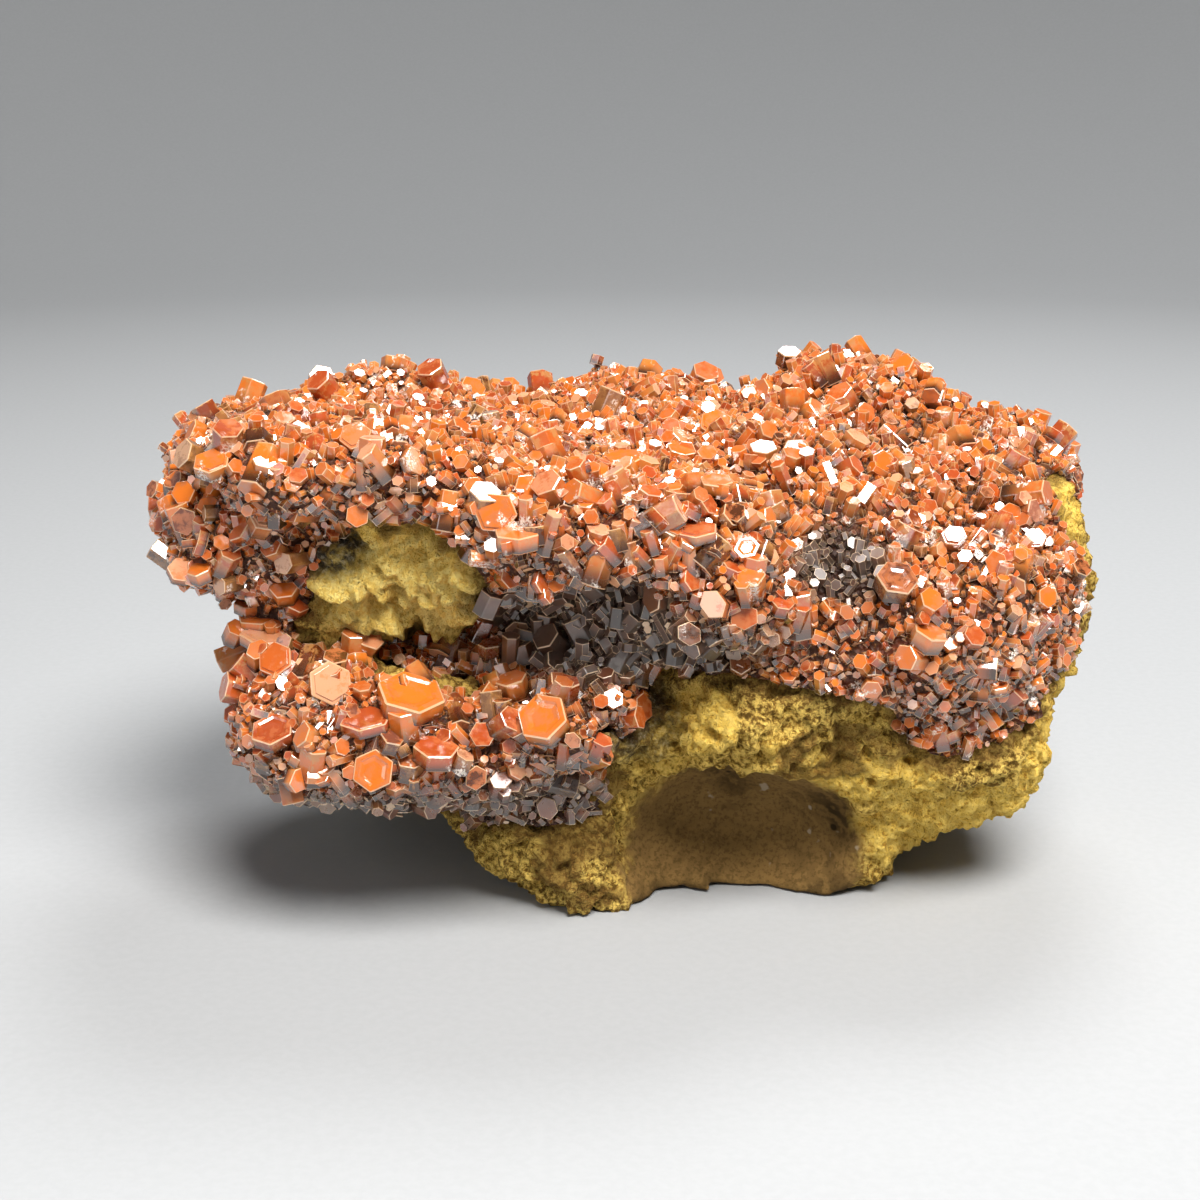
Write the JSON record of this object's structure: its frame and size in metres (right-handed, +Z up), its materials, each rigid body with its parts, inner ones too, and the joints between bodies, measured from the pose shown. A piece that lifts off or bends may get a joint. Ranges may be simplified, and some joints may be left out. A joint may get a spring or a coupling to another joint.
{
  "type": "vanadinite on matrix",
  "caption": "Ochre limonite rock with an overhanging brow, a shelf and a hollow, crusted on top, front and sides with grown-together hexagonal vanadinite crystals; rests on a flat base.",
  "frame": {"origin": "on the flat base that the specimen rests on, under the middle of the rock", "axes": "+Z up, +X to the specimen's right along its length, +Y to its back, so its crystal-covered front faces -Y"},
  "size_m": [0.1529, 0.0959, 0.0808],
  "materials": {
    "limonite": "dull, granular ochre-yellow rock with brown and black patches",
    "vanadinite": "resinous orange-red to brown crystals with pale edges, slightly translucent"
  },
  "bodies": {
    "root": {"matrix": "limonite", "crystal_crust": "vanadinite"}
  },
  "joints": []
}
